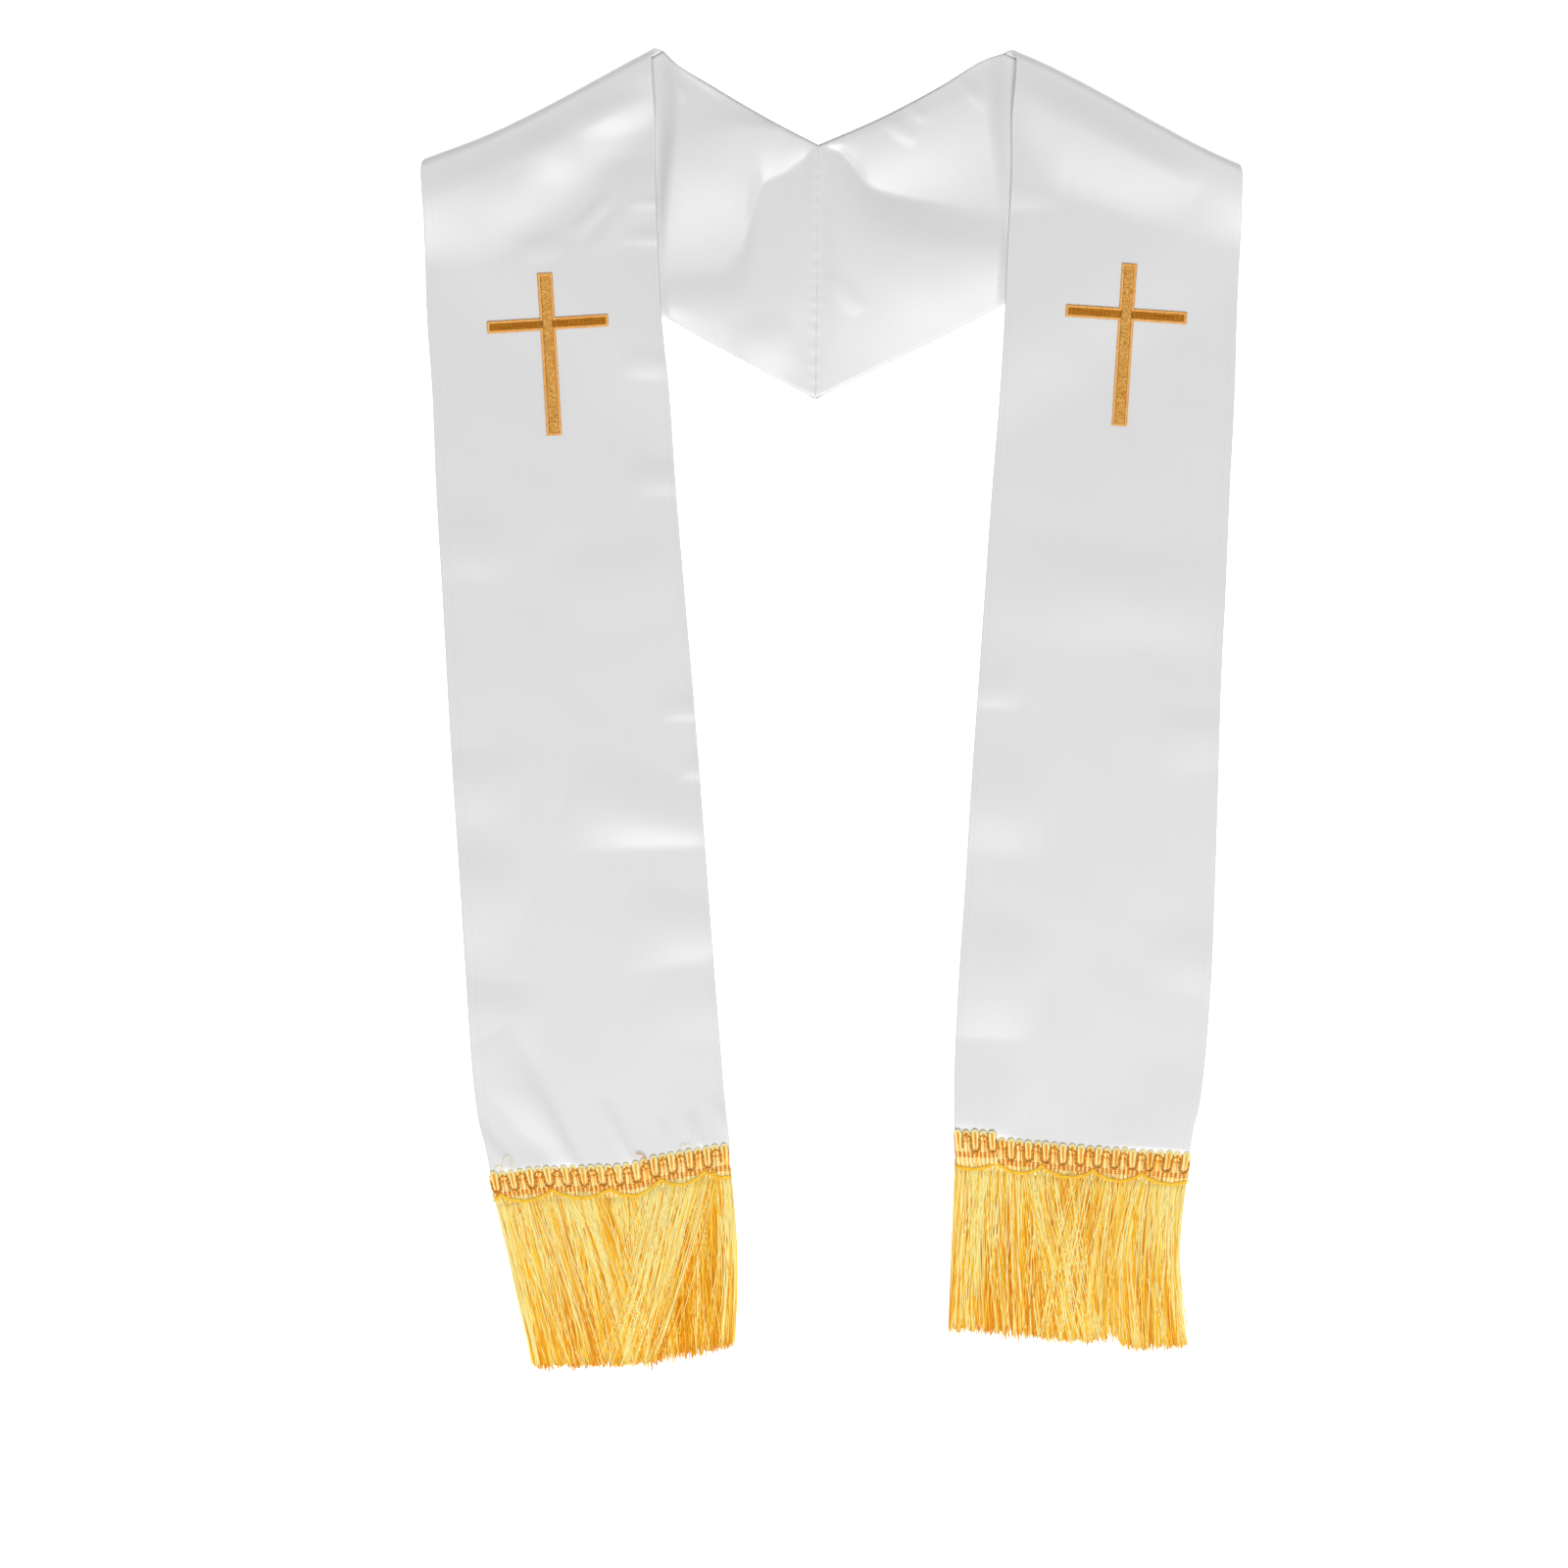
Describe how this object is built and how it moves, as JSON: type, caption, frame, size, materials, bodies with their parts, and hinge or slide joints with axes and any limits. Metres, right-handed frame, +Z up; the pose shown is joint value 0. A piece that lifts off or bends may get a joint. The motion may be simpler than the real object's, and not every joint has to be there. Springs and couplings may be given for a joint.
{
  "type": "clerical stole",
  "caption": "White satin clerical stole laid flat, with folded shoulders, embroidered gold crosses, gimp braid and gold cut fringe.",
  "frame": {"origin": "on the table under the middle of the laid-out stole", "axes": "+X across the stole towards its right front as seen from above, +Y from the fringes to the neck, +Z up from the table"},
  "size_m": [0.4486, 0.7188, 0.008],
  "materials": {
    "white_satin": "white satin weave with a soft sheen",
    "white_lining": "white satin lining",
    "gold_thread": "old gold embroidery thread",
    "border_thread": "light orange-gold satin stitch",
    "gold_braid": "woven gold gimp braid",
    "brown_cord": "brown gimp cord",
    "gold_fringe": "glossy gold rayon fringe"
  },
  "bodies": {
    "root": {"left_band": "white_satin", "right_band": "white_satin", "left_lining": "white_lining", "right_lining": "white_lining", "left_cross_fill": "gold_thread", "right_cross_fill": "gold_thread", "left_cross_border": "border_thread", "right_cross_border": "border_thread", "left_braid": "gold_braid", "right_braid": "gold_braid", "right_braid_end": "gold_braid", "left_braid_cord": "brown_cord", "right_braid_cord": "brown_cord", "right_braid_end_cord": "brown_cord", "left_fringe": "gold_fringe", "right_fringe": "gold_fringe"}
  },
  "joints": []
}
